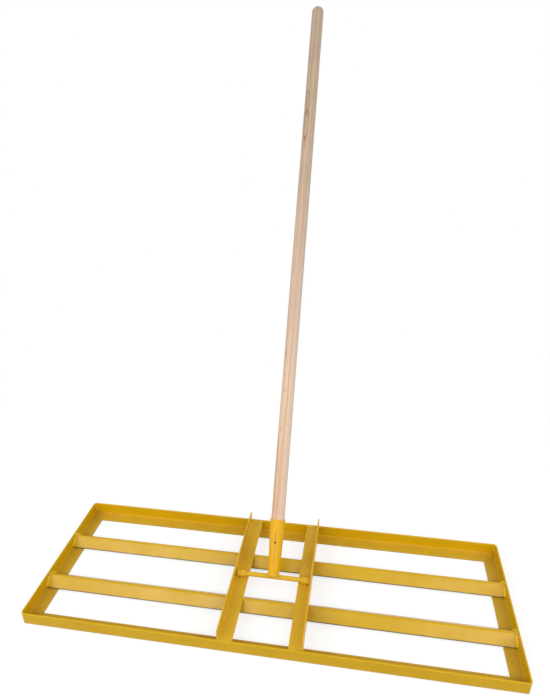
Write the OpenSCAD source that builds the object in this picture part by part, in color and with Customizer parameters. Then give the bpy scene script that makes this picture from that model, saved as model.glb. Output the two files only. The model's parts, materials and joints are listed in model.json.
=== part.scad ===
// Lawn leveling rake: a welded steel frame that lies on the ground, with a wooden
// handle that swings front to back on a pivot in the middle of the frame.
// Units are millimetres. X runs along the frame, Y from front to back, Z up.
// The origin is on the ground, at the centre of the frame.

/* [Frame] */
// Length of the frame, left to right
frame_length = 1000; // [700:10:1400]
// Depth of the frame, front to back
frame_depth = 346; // [300:2:460]
// Rounding of the four upright corners
corner_radius = 7.5; // [1:0.5:8]

/* [Steel angle] */
// Width of each leg of the bent steel angle
angle_leg = 30; // [25:1:40]
// Thickness of the steel
angle_wall = 3; // [2:0.5:4]
// Radius inside the bend
bend_radius = 2; // [1:0.5:4]
// Rounding of the free edges of the legs
edge_radius = 0.8; // [0.3:0.1:0.9]

/* [Levelling bars] */
// Distance between the ridges of the two bars
bar_spacing = 122; // [100:2:150]

/* [Cross angles] */
// Width over the outer faces of the two cross angles
cross_span = 170; // [140:2:260]

/* [Pivot] */
// Diameter of the rod that the handle turns on
rod_diameter = 10; // [8:0.5:13]
// Chamfer at each end of the rod
rod_chamfer = 1; // [0.5:0.1:1.5]
// Gap between each end of the rod and the cross angle
rod_end_gap = 1; // [0.5:0.5:3]
// Radial play between the rod and its bushes
rod_play = 0.08; // [0.02:0.01:0.1]
// Wall of the bushes
bush_wall = 2.4; // [1.5:0.1:4]
// Length of each bush
bush_length = 19; // [12:1:22]
// Chamfer at the ends of the bushes
bush_chamfer = 0.6; // [0.2:0.1:1]
// How far the pivot lies in front of the middle of the frame
pivot_forward = 4; // [-10:1:12]

/* [Handle socket] */
// Distance from the rod's axis to the socket's mouth
socket_length = 122; // [100:1:160]
// Thickness of the socket's sheet
socket_wall = 1.8; // [1.4:0.1:2.6]
// How far the socket's foot reaches down past the top of the rod
socket_cope = 1; // [0.4:0.1:1.4]
// Outer diameter of the socket at its foot
foot_diameter = 25; // [22:0.5:28]
// Distance from the rod's axis to the lower end of the open seam
seam_bottom = 26; // [20:1:40]
// Distance from the rod's axis to the upper end of the open seam
seam_top = 97; // [92:1:98]
// Width of the open seam where it is widest, at the screw
seam_width = 2.4; // [1.2:0.1:2.8]
// Width of the open seam at its two ends
seam_end = 0.8; // [0.4:0.1:1.2]

/* [Handle] */
// Diameter of the wooden handle
handle_diameter = 30; // [28:0.5:34]
// Length of the wooden handle
handle_length = 1387; // [900:1:1800]
// Rounding of the handle's top edge
handle_dome = 9; // [4:0.5:12]
// Distance from the rod's axis to the lower end of the wood
handle_seat = 21; // [15:1:30]
// How far the cone on the wood's lower end runs on above the socket's mouth
handle_cone_over = 1; // [0.5:0.5:4]
// Gap between the wood and the socket
handle_fit = 0.1; // [0.05:0.05:0.3]
// Lean of the handle behind the vertical, in degrees
handle_lean = 35; // [0:1:60]

/* [Screw] */
// Distance from the rod's axis to the screw
screw_place = 74; // [60:1:88]
// Diameter of the screw's shank
screw_shank = 3; // [2.5:0.5:4]
// Diameter of the countersunk head
screw_head = 4.5; // [4.5:0.5:7]
// Length of the screw
screw_length = 20; // [15:1:24]
// Gap round the screw
screw_fit = 0.05; // [0.02:0.01:0.1]

/* [Welds] */
// Leg of the beads in the mitred corners
corner_bead = 4; // [2:0.5:6]
// Height of the beads along the mitres
mitre_bead = 1.6; // [1:0.1:3]
// Leg of the beads at the ends of the levelling bars
bar_bead = 4.5; // [2.5:0.5:6]
// Leg of the beads at the ends of the cross angles
cross_bead = 2.5; // [1.5:0.1:3]
// Radius of the tacks outside the ends of the cross angles
cross_tack = 2.8; // [2:0.1:2.9]
// Radius of the tacks on the ridges
ridge_tack = 3.2; // [2:0.1:3.4]
// Radius of the tacks at the bushes
bush_tack = 3; // [2:0.1:4]
// Radius of the bead round the socket's foot
socket_bead = 1.8; // [1.4:0.1:2.4]

/* [Hidden] */
$fn = 64;
PAINT = "#dba51f";
WOOD = "#e6c49c";
SCREW = "#5a4a38";
CUT = 1; // overshoot of every cutting shape

// Outer radius of the bend, and how far a rounded corner falls short of a sharp one
bend_outer = bend_radius + angle_wall;
diagonal = sqrt(2);
corner_loss = diagonal - 1;

// Rounding of the upright corners, which leaves a third of the wall at the mitre
corner_r = min(corner_radius, angle_wall * (diagonal - 1 / 3) / corner_loss);

// Inner faces of the upright legs
inner_x = frame_length / 2 - angle_wall;
inner_y = frame_depth / 2 - angle_wall;

// The levelling bars stand with both toes on the flat legs of the side rails
bar_length = 2 * (inner_x - bend_radius);
bar_y = bar_spacing / 2;
bar_corner = angle_wall + (angle_leg + angle_wall) / diagonal - edge_radius * corner_loss;
ridge_z = bar_corner - bend_outer * corner_loss;

// The cross angles lie on the ridges, between the front and back rails
cross_top = ridge_z + angle_wall;
cross_face = cross_span / 2 - angle_wall;
cross_toe = cross_span / 2 - angle_leg;
cross_flat = cross_face - bend_radius;

// The bushes lie on the cross angles, against the bend
bush_bore = rod_diameter + 2 * rod_play;
bush_outer = bush_bore + 2 * bush_wall;
bush_x = cross_flat - bush_length / 2;
rod_length = 2 * (cross_face - rod_end_gap);
axle_y = -pivot_forward;
axle_z = cross_top + bush_outer / 2;

// Radii of the socket and of the wood inside it
handle_r = handle_diameter / 2;
foot_r = foot_diameter / 2;
socket_foot = rod_diameter / 2 - socket_cope;
mouth_r = handle_r + handle_fit + socket_wall;
flare = (mouth_r - foot_r) / (socket_length - socket_foot);
tip_r = foot_r + flare * (handle_seat - socket_foot) - socket_wall - handle_fit;
handle_top = handle_seat + handle_length;
screw_r = foot_r + flare * (screw_place - socket_foot);
screw_head_h = (screw_head - screw_shank) / 2;

// One leg of the angle, from the bend to its rounded free edge
module leg_profile() {
    reach = angle_leg - bend_outer - edge_radius;
    translate([bend_outer, 0]) {
        square([reach, angle_wall]);
        translate([reach, edge_radius]) square([edge_radius, angle_wall - 2 * edge_radius]);
        for (y = [edge_radius, angle_wall - edge_radius])
            translate([reach, y]) circle(edge_radius);
    }
}

// Section of the bent angle, with the outer faces of its legs on the two axes
module angle_profile() {
    translate([bend_outer, bend_outer]) intersection() {
        difference() {
            circle(bend_outer);
            circle(bend_radius);
        }
        translate([-bend_outer, -bend_outer]) square(bend_outer);
    }
    leg_profile();
    mirror([1, -1]) leg_profile();
}

// Plan of a frame rail along X, with mitred ends and rounded outer corners
module rail_plan(length) {
    inside = angle_leg + CUT;
    straight = length - 2 * corner_r;
    intersection() {
        polygon([
            [-length / 2 - CUT, -CUT], [length / 2 + CUT, -CUT],
            [length / 2 - inside, inside], [-length / 2 + inside, inside]
        ]);
        union() {
            translate([-straight / 2, 0]) square([straight, inside]);
            translate([-length / 2, corner_r]) square([length, inside]);
            for (x = [-straight / 2, straight / 2]) translate([x, corner_r]) circle(corner_r);
        }
    }
}

// Frame rail along X, its outer face on the XZ plane
module rail(length) {
    color(PAINT) intersection() {
        rotate([90, 0, 90]) linear_extrude(length + 4 * CUT, center = true) angle_profile();
        translate([0, 0, -CUT]) linear_extrude(angle_leg + 2 * CUT) rail_plan(length);
    }
}

module front_rail() {
    translate([0, -frame_depth / 2, 0]) rail(frame_length);
}

module back_rail() {
    rotate(180) front_rail();
}

module left_rail() {
    translate([-frame_length / 2, 0, 0]) rotate(-90) rail(frame_depth);
}

module right_rail() {
    rotate(180) left_rail();
}

// Angle set ridge up, with its toes on the side rails
module levelling_bar(y) {
    color(PAINT) translate([0, y, bar_corner]) rotate([90, 0, 90])
        linear_extrude(bar_length, center = true) rotate(-135) angle_profile();
}

module front_levelling_bar() {
    levelling_bar(-bar_y);
}

module rear_levelling_bar() {
    levelling_bar(bar_y);
}

// Angle lying front to back on the ridges, upright leg outside
module left_cross_angle() {
    color(PAINT) translate([-cross_span / 2, 0, ridge_z]) rotate([90, 0, 0])
        linear_extrude(2 * inner_y, center = true) angle_profile();
}

module right_cross_angle() {
    mirror([1, 0, 0]) left_cross_angle();
}

// Places a shape that lies along Z on the pivot's axis, along X
module on_axle(x = 0) {
    translate([x, axle_y, axle_z]) rotate([0, 90, 0]) children();
}

// Places a shape that stands along Z on the handle's axis, from the pivot up
module on_handle() {
    translate([0, axle_y, axle_z]) rotate([-handle_lean, 0, 0]) children();
}

module bush(side) {
    inside = bush_bore / 2;
    outside = bush_outer / 2;
    half = bush_length / 2;
    color(PAINT) on_axle(side * bush_x) rotate_extrude() polygon([
        [inside, -half], [outside - bush_chamfer, -half], [outside, -half + bush_chamfer],
        [outside, half - bush_chamfer], [outside - bush_chamfer, half], [inside, half]
    ]);
}

module left_pivot_bush() {
    bush(-1);
}

module right_pivot_bush() {
    bush(1);
}

module pivot_rod() {
    r = rod_diameter / 2;
    half = rod_length / 2;
    color(PAINT) on_axle() rotate_extrude() polygon([
        [0, -half], [r - rod_chamfer, -half], [r, -half + rod_chamfer],
        [r, half - rod_chamfer], [r - rod_chamfer, half], [0, half]
    ]);
}

// Countersunk screw pointing into the handle from the front, grown by a gap all round
module screw_shape(gap = 0) {
    shank_r = screw_shank / 2 + gap;
    head_r = screw_head / 2 + gap;
    tip = screw_r - screw_length - gap;
    top = gap > 0 ? [[head_r, screw_r + CUT], [0, screw_r + CUT]] : [[0, screw_r]];
    translate([0, 0, screw_place]) rotate([90, 0, 0]) rotate_extrude() polygon(concat(
        [[0, tip], [shank_r, tip], [shank_r, screw_r - screw_head_h], [head_r, screw_r]], top
    ));
}

// Rolled sheet cone, coped onto the rod, with a seam at the front that is closed near its two ends
module handle_socket() {
    color(PAINT) on_handle() difference() {
        rotate_extrude() polygon([
            [foot_r - socket_wall, socket_foot], [foot_r, socket_foot],
            [mouth_r, socket_length], [mouth_r - socket_wall, socket_length]
        ]);
        rotate([0, 90, 0]) cylinder(d = rod_diameter, h = rod_length, center = true);
        rotate([90, 0, 0]) linear_extrude(mouth_r + CUT) polygon([
            [-seam_end / 2, seam_bottom], [seam_end / 2, seam_bottom], [seam_width / 2, screw_place],
            [seam_end / 2, seam_top], [-seam_end / 2, seam_top], [-seam_width / 2, screw_place]
        ]);
        screw_shape(screw_fit);
    }
}

module handle_shaft() {
    flat_r = handle_r - handle_dome;
    shoulder = handle_top - handle_dome;
    color(WOOD) on_handle() difference() {
        rotate_extrude() {
            polygon([
                [0, handle_seat], [tip_r, handle_seat],
                [handle_r, socket_length + handle_cone_over], [handle_r, shoulder], [0, shoulder]
            ]);
            translate([0, shoulder]) square([flat_r, handle_dome]);
            translate([flat_r, shoulder]) intersection() {
                circle(handle_dome);
                square(handle_dome);
            }
        }
        screw_shape(screw_fit);
    }
}

module handle_screw() {
    color(SCREW) on_handle() screw_shape();
}

// Bead along Z with tapered ends, turned through an angle from the X axis
module bead(length, r, angle = 90) {
    tip = r / 3;
    rotate_extrude(angle = angle) polygon([
        [0, -length / 2], [tip, -length / 2], [r, -length / 2 + r],
        [r, length / 2 - r], [tip, length / 2], [0, length / 2]
    ]);
}

// A bead up each inside corner and one along each mitre of the flat legs
module corner_welds() {
    foot = angle_wall + bend_radius;
    rise = angle_leg - edge_radius - foot;
    run = diagonal * (angle_leg - bend_outer - edge_radius);
    run_mid = bend_outer + run / diagonal / 2;
    color(PAINT) for (sx = [0, 1], sy = [0, 1])
        mirror([sx, 0, 0]) mirror([0, sy, 0]) {
            translate([-inner_x, -inner_y, foot + rise / 2]) bead(rise, corner_bead);
            translate([run_mid - frame_length / 2, run_mid - frame_depth / 2, angle_wall])
                rotate(45) rotate([0, 90, 0]) rotate(90) bead(run, mitre_bead, 180);
        }
}

// Beads down both faces of a levelling bar, at each end, against the side rails
module bar_welds(y) {
    run = angle_leg - bend_outer - bar_bead / 2;
    mid = bend_outer + run / 2;
    color(PAINT) for (sx = [0, 1], sy = [0, 1])
        mirror([sx, 0, 0]) translate([0, y, 0]) mirror([0, sy, 0])
            translate([-inner_x, -mid / diagonal, bar_corner - mid / diagonal])
                rotate([-45, 0, 0]) rotate(-90) bead(run, bar_bead);
}

module front_bar_welds() {
    bar_welds(-bar_y);
}

module rear_bar_welds() {
    bar_welds(bar_y);
}

// Beads across the ends of the cross angles, and tacks outside them, against the front and back rails
module cross_end_welds() {
    run = cross_flat - cross_toe - edge_radius;
    mid = cross_flat - run / 2;
    tack_z = angle_leg - edge_radius - cross_tack;
    color(PAINT) for (sx = [0, 1], sy = [0, 1])
        mirror([sx, 0, 0]) mirror([0, sy, 0]) {
            translate([-mid, -inner_y, cross_top]) rotate([0, 90, 0]) rotate(90) bead(run, cross_bead);
            difference() {
                translate([-cross_span / 2, -inner_y, tack_z]) intersection() {
                    sphere(cross_tack);
                    translate([-2 * cross_tack, 0, -2 * cross_tack]) cube(4 * cross_tack);
                }
                left_cross_angle();
            }
        }
}

// Tacks between the toes of the cross angles and the ridges under them
module ridge_welds() {
    color(PAINT) for (sx = [0, 1], sy = [0, 1])
        mirror([sx, 0, 0]) mirror([0, sy, 0]) difference() {
            translate([-cross_toe, -bar_y, ridge_z + angle_wall / 3]) intersection() {
                sphere(ridge_tack);
                translate([0, -2 * ridge_tack, -2 * ridge_tack]) cube(4 * ridge_tack);
            }
            translate([0, -bar_y, ridge_z - bend_outer]) rotate([0, 90, 0])
                cylinder(r = bend_outer, h = cross_span, center = true);
        }
}

// Tacks in front of and behind each bush, on the cross angle
module bush_welds() {
    reach = bush_outer / 2 - bush_tack / 3;
    color(PAINT) for (sx = [-1, 1], sy = [-1, 1]) difference() {
        intersection() {
            translate([sx * bush_x, axle_y + sy * reach, cross_top]) sphere(bush_tack);
            translate([sx * bush_x - 2 * bush_tack, axle_y - 2 * bush_outer, cross_top])
                cube([4 * bush_tack, 4 * bush_outer, 2 * bush_tack]);
        }
        on_axle(sx * bush_x) cylinder(d = bush_outer, h = bush_length, center = true);
    }
}

// Bead round the foot of the socket, coped onto the rod
module socket_weld() {
    color(PAINT) on_handle() difference() {
        rotate_extrude() difference() {
            translate([foot_r, socket_foot]) circle(socket_bead);
            polygon([
                [0, socket_foot], [foot_r, socket_foot],
                [foot_r + 2 * socket_bead * flare, socket_foot + 2 * socket_bead],
                [0, socket_foot + 2 * socket_bead]
            ]);
        }
        rotate([0, 90, 0]) cylinder(d = rod_diameter, h = rod_length, center = true);
    }
}

front_rail();
back_rail();
left_rail();
right_rail();
front_levelling_bar();
rear_levelling_bar();
left_cross_angle();
right_cross_angle();
left_pivot_bush();
right_pivot_bush();
pivot_rod();
handle_socket();
handle_shaft();
handle_screw();
corner_welds();
front_bar_welds();
rear_bar_welds();
cross_end_welds();
ridge_welds();
bush_welds();
socket_weld();
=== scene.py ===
"""Looks of the lawn leveling rake: a painted angle frame, a swinging socket and a pine handle."""

import json
import logging
import math
import random
from dataclasses import dataclass
from enum import Enum, IntEnum
from itertools import product
from typing import Iterator, Sequence

import bpy
from mathutils import Matrix, Vector

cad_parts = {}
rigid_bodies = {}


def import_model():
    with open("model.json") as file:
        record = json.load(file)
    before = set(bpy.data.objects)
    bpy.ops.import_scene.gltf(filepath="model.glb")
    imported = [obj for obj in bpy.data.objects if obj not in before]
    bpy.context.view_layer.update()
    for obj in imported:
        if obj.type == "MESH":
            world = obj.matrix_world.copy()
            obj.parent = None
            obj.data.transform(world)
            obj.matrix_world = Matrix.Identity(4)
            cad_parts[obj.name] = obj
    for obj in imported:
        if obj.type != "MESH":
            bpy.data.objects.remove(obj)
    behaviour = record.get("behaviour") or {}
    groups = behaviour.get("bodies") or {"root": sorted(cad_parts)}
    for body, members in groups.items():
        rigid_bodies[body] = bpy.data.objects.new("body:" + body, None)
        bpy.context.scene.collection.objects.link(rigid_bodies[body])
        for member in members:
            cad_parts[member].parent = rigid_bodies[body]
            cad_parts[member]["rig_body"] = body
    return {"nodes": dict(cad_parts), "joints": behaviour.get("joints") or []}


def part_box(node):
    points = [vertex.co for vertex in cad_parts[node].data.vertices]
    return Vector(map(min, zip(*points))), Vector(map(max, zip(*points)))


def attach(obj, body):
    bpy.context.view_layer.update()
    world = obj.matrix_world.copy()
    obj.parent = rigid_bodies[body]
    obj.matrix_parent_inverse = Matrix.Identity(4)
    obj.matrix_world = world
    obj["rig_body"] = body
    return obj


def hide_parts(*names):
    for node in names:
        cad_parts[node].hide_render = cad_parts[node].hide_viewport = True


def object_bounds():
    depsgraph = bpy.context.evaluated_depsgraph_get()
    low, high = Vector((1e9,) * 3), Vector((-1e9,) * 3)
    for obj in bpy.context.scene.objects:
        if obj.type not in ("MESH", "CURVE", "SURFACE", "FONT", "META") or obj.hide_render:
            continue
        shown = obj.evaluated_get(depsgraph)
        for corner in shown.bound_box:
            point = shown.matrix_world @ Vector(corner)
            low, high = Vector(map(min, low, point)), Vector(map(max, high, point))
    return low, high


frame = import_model()
CAD_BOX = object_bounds()

LOG = logging.getLogger("rake")
MM = 0.001
DIAGONAL = math.sqrt(2)
SIDES = (-1, 1)
ORIGIN = (0.0, 0.0, 0.0)
LEAN = math.radians(35.0)
ACROSS = (0.0, math.pi / 2, 0.0)

# Sides of the round cutters and of the screw
CUTTER_SIDES = 96
RIDGE_SIDES = 64
SCREW_SIDES = 48

Triple = tuple[float, float, float]
Colour = tuple[float, float, float, float]
Pair = tuple[float, float]
Socket = bpy.types.NodeSocket
Value = float | Triple | Colour | Socket


class Body(Enum):
    """Bodies that a piece can ride on."""

    FRAME = "frame"
    HANDLE = "handle"


class Slot(Enum):
    """Names of the material slots, handed along with the modelled pieces."""

    PAINT = "yellow_paint"
    SCREW = "screw_steel"


class Coat(Enum):
    """One yellow enamel in lit and shaded copies, for the groups of parts."""

    PIVOT = "pivot"
    RAIL = "rail"
    SIDE = "side"
    BAR = "bar"
    WELD = "weld"
    SOCKET = "socket"


class BeadKind(Enum):
    """How a weld lies on the steel: in the corner of two plates, or on one flat plate."""

    FILLET = "fillet"
    FLAT = "flat"


class Seed(IntEnum):
    """Starts of the random draws, one for each kind of weld."""

    CORNER_RISE = 11
    CORNER_MITRE = 17
    CROSS_END = 23
    CROSS_TACK = 29
    FRONT_BAR = 31
    REAR_BAR = 37
    RIDGE_TACK = 41
    BUSH_TACK = 53
    FOOT_WELD = 61


class NodeBench:
    """Adds nodes to one shader tree and joins them."""

    def __init__(self, tree: bpy.types.NodeTree) -> None:
        """Takes a tree as an empty bench.

        Args:
            tree: The tree to work on; its nodes are cleared.
        """
        self.tree = tree
        self.tree.nodes.clear()

    def feed(self, socket: Socket, value: Value) -> None:
        """Links a socket to another one, or sets its plain value.

        Args:
            socket: The input to feed.
            value: The output to link to it, or its plain value.
        """
        if isinstance(value, bpy.types.NodeSocket):
            self.tree.links.new(value, socket)
        else:
            socket.default_value = value

    def add(self, kind: str, inputs: dict[str | int, Value] | None = None,
            **settings: object) -> bpy.types.Node:
        """Adds a node.

        Args:
            kind: The node's type.
            inputs: Sockets or plain values for its inputs, by name or number.
            settings: Properties of the node.

        Returns:
            The new node.
        """
        node = self.tree.nodes.new(kind)
        for label, setting in settings.items():
            setattr(node, label, setting)
        for label, value in (inputs or {}).items():
            self.feed(node.inputs[label], value)
        return node

    def math(self, operation: str, *values: Value) -> Socket:
        """Returns the result of one arithmetic step on numbers."""
        return self.add("ShaderNodeMath", dict(enumerate(values)), operation=operation).outputs[0]

    def vector(self, operation: str, *values: Value) -> Socket:
        """Returns the vector that one step on vectors gives."""
        node = self.add("ShaderNodeVectorMath", dict(enumerate(values)), operation=operation)
        return node.outputs["Vector"]

    def measure(self, operation: str, *values: Value) -> Socket:
        """Returns the number that one step on vectors gives, such as a length."""
        node = self.add("ShaderNodeVectorMath", dict(enumerate(values)), operation=operation)
        return node.outputs["Value"]

    def spread(self, value: Value, low: Value, high: Value) -> Socket:
        """Returns a smooth step from 0 at low to 1 at high."""
        inputs = {"Value": value, "From Min": low, "From Max": high}
        return self.add("ShaderNodeMapRange", inputs, interpolation_type="SMOOTHSTEP").outputs["Result"]

    def noise(self, position: Value, scale: Value, detail: float = 2.0) -> Socket:
        """Returns soft noise between 0 and 1."""
        inputs = {"Vector": position, "Scale": scale, "Detail": detail}
        return self.add("ShaderNodeTexNoise", inputs).outputs["Fac"]

    def grains(self, position: Value, size: Value, detail: float = 2.0, finer: float = 1.0) -> Socket:
        """Returns soft noise with grains of a size in metres, or that many times finer."""
        return self.noise(position, self.math("DIVIDE", finer, size), detail)

    def mix(self, share: Value, first: Value, second: Value, blend: str = "MIX") -> Socket:
        """Returns a colour between two, by share.

        Args:
            share: 0 for the first colour, 1 for the second.
            first: The colour under it.
            second: The colour laid over.
            blend: How the second is laid over the first.

        Returns:
            The mixed colour.
        """
        share_place, first_place, second_place, colour_result = 0, 6, 7, 2
        node = self.add("ShaderNodeMix", data_type="RGBA", blend_type=blend)
        for place, value in ((share_place, share), (first_place, first), (second_place, second)):
            self.feed(node.inputs[place], value)
        return node.outputs[colour_result]

    def tint(self, mask: Value, amount: Value, first: Value, second: Value) -> Socket:
        """Returns a colour with a second laid over it, where a mask is and by an amount."""
        return self.mix(self.math("MULTIPLY", mask, amount), first, second)

    def ramp(self, share: Value, stops: Sequence[tuple[float, Colour]]) -> Socket:
        """Returns a colour from a row of stops.

        Args:
            share: Where to read the row, from 0 to 1.
            stops: Each stop's place and colour.

        Returns:
            The colour there.
        """
        node = self.add("ShaderNodeValToRGB", {"Fac": share})
        elements = node.color_ramp.elements
        while len(elements) < len(stops):
            elements.new(0.5)
        for element, (place, colour) in zip(elements, stops):
            element.position = place
            element.color = colour
        return node.outputs["Color"]

    def effect(self, group: bpy.types.NodeTree, output: str, **inputs: Value) -> Socket:
        """Places a shared effect.

        Args:
            group: The effect's node group.
            output: Which of its results to use.
            inputs: Values for its inputs.

        Returns:
            The result's socket.
        """
        node = self.add("ShaderNodeGroup", node_tree=group)
        for label, value in inputs.items():
            self.feed(node.inputs[label], value)
        return node.outputs[output]


class EffectBench(NodeBench):
    """A node group with named inputs and one number as its output."""

    def __init__(self, name: str, inputs: dict[str, float | Triple], output: str) -> None:
        """Starts the group.

        Args:
            name: The group's name.
            inputs: The default of each input, a number or a vector.
            output: The name of its one result.
        """
        super().__init__(bpy.data.node_groups.new(name, "ShaderNodeTree"))
        sockets = self.tree.interface
        for label, value in inputs.items():
            kind = "NodeSocketFloat" if isinstance(value, float) else "NodeSocketVector"
            sockets.new_socket(label, in_out="INPUT", socket_type=kind).default_value = value
        sockets.new_socket(output, in_out="OUTPUT", socket_type="NodeSocketFloat")
        self.given = self.add("NodeGroupInput").outputs
        self.result = self.add("NodeGroupOutput").inputs[output]

    def close(self, value: Socket) -> bpy.types.NodeTree:
        """Joins the result and returns the finished group."""
        self.feed(self.result, value)
        return self.tree


class MaterialBench(NodeBench):
    """A new material, with the piece's own coordinates at hand."""

    def __init__(self, name: str) -> None:
        """Starts a material.

        Args:
            name: The material's name.
        """
        self.material = bpy.data.materials.new(name)
        self.material.use_nodes = True
        super().__init__(self.material.node_tree)
        self.position = self.add("ShaderNodeTexCoord").outputs["Object"]

    def relief(self, height: Socket, depth: float) -> Socket:
        """Returns a normal that follows a height between 0 and 1, depth metres tall."""
        inputs = {"Strength": 1.0, "Distance": depth, "Height": height}
        return self.add("ShaderNodeBump", inputs).outputs["Normal"]

    def finish(self, shader: Socket) -> bpy.types.Material:
        """Joins the shader to the output and returns the material."""
        self.add("ShaderNodeOutputMaterial", {"Surface": shader})
        return self.material

    def surface(self, inputs: dict[str, Value]) -> bpy.types.Material:
        """Ends the material with one principled shader and returns it."""
        return self.finish(self.add("ShaderNodeBsdfPrincipled", inputs).outputs["BSDF"])


class Effects:
    """The shader effects that the finishes share, each built once."""

    def __init__(self) -> None:
        """Builds every effect."""
        self.tone_drift = self.make_tone_drift()
        self.dimples = self.make_dimples()
        self.edge_wear_and_highlight = self.make_edge_wear_and_highlight()
        self.ground_dust_and_shadow = self.make_ground_dust_and_shadow()
        self.long_grain = self.make_long_grain()
        self.grain_eye = self.make_grain_eye()

    @staticmethod
    def make_tone_drift() -> bpy.types.NodeTree:
        """Builds patches of light and dark, Patch metres across, with finer ones among them.

        Returns:
            The group, with the output Drift.
        """
        finer, fine_share = 5.0, 0.35
        dark_end, light_end = 0.35, 0.65
        bench = EffectBench("tone drift", {"Position": ORIGIN, "Patch": 0.1}, "Drift")
        broad = bench.grains(bench.given["Position"], bench.given["Patch"])
        fine = bench.grains(bench.given["Position"], bench.given["Patch"], detail=4.0, finer=finer)
        both = bench.math("MULTIPLY_ADD", fine, fine_share, bench.math("MULTIPLY", broad, 1.0 - fine_share))
        return bench.close(bench.spread(both, dark_end, light_end))

    @staticmethod
    def make_dimples() -> bpy.types.NodeTree:
        """Builds a dimpled height, Dimple metres from one to the next, with the output Height."""
        bench = EffectBench("dimples", {"Position": ORIGIN, "Dimple": 0.002}, "Height")
        return bench.close(bench.grains(bench.given["Position"], bench.given["Dimple"], detail=1.0))

    @staticmethod
    def make_edge_wear_and_highlight() -> bpy.types.NodeTree:
        """Builds a broken line along the edges, Reach metres wide, in pieces of Break metres: a painted
        highlight and thinner coat on the paint, rubbed wear on the screw.

        Returns:
            The group, with the output Mask.
        """
        flat_turn, edge_turn = 0.01, 0.2
        whole_end, worn_end = 0.3, 0.65
        bench = EffectBench("edge wear and highlight", {"Position": ORIGIN, "Reach": 0.002, "Break": 0.02}, "Mask")
        rounded = bench.add("ShaderNodeBevel", {"Radius": bench.given["Reach"]}, samples=6).outputs["Normal"]
        flat = bench.add("ShaderNodeNewGeometry").outputs["Normal"]
        turn = bench.math("SUBTRACT", 1.0, bench.measure("DOT_PRODUCT", rounded, flat))
        broken = bench.grains(bench.given["Position"], bench.given["Break"], detail=3.0)
        return bench.close(bench.math("MULTIPLY", bench.spread(turn, flat_turn, edge_turn),
                                      bench.spread(broken, whole_end, worn_end)))

    @staticmethod
    def make_ground_dust_and_shadow() -> bpy.types.NodeTree:
        """Builds an uneven band, used for dust and for painted shadow, that starts at Foot and fades out
        Height metres above it.

        Returns:
            The group, with the output Mask.
        """
        waves_per_metre, least = 45.0, 0.5
        bench = EffectBench("ground dust and shadow", {"Position": ORIGIN, "Foot": 0.0, "Height": 0.01}, "Mask")
        rise = bench.add("ShaderNodeSeparateXYZ", {0: bench.given["Position"]}).outputs["Z"]
        waves = bench.noise(bench.given["Position"], waves_per_metre, detail=4.0)
        uneven = bench.math("ADD", waves, least)
        top = bench.math("MULTIPLY_ADD", bench.given["Height"], uneven, bench.given["Foot"])
        return bench.close(bench.math("SUBTRACT", 1.0, bench.spread(rise, bench.given["Foot"], top)))

    @staticmethod
    def make_long_grain() -> bpy.types.NodeTree:
        """Builds streaks along Z, Across metres wide and Along metres long.

        Returns:
            The group, with the output Streak.
        """
        inputs = {"Position": ORIGIN, "Across": 0.001, "Along": 0.1}
        bench = EffectBench("long grain", inputs, "Streak")
        size = bench.add("ShaderNodeCombineXYZ", {
            0: bench.given["Across"], 1: bench.given["Across"], 2: bench.given["Along"]}).outputs[0]
        stretched = bench.vector("DIVIDE", bench.given["Position"], size)
        return bench.close(bench.noise(stretched, 1.0, detail=3.0))

    @staticmethod
    def make_grain_eye() -> bpy.types.NodeTree:
        """Builds a soft hill about a Centre, with its own Reach along each axis.

        Returns:
            The group, with the output Lift.
        """
        inputs = {"Position": ORIGIN, "Centre": ORIGIN, "Reach": (0.01, 0.01, 0.05)}
        bench = EffectBench("grain eye", inputs, "Lift")
        away = bench.vector("SUBTRACT", bench.given["Position"], bench.given["Centre"])
        away = bench.vector("DIVIDE", away, bench.given["Reach"])
        square = bench.measure("DOT_PRODUCT", away, away)
        return bench.close(bench.math("EXPONENT", bench.math("MULTIPLY", square, -1.0)))


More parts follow.
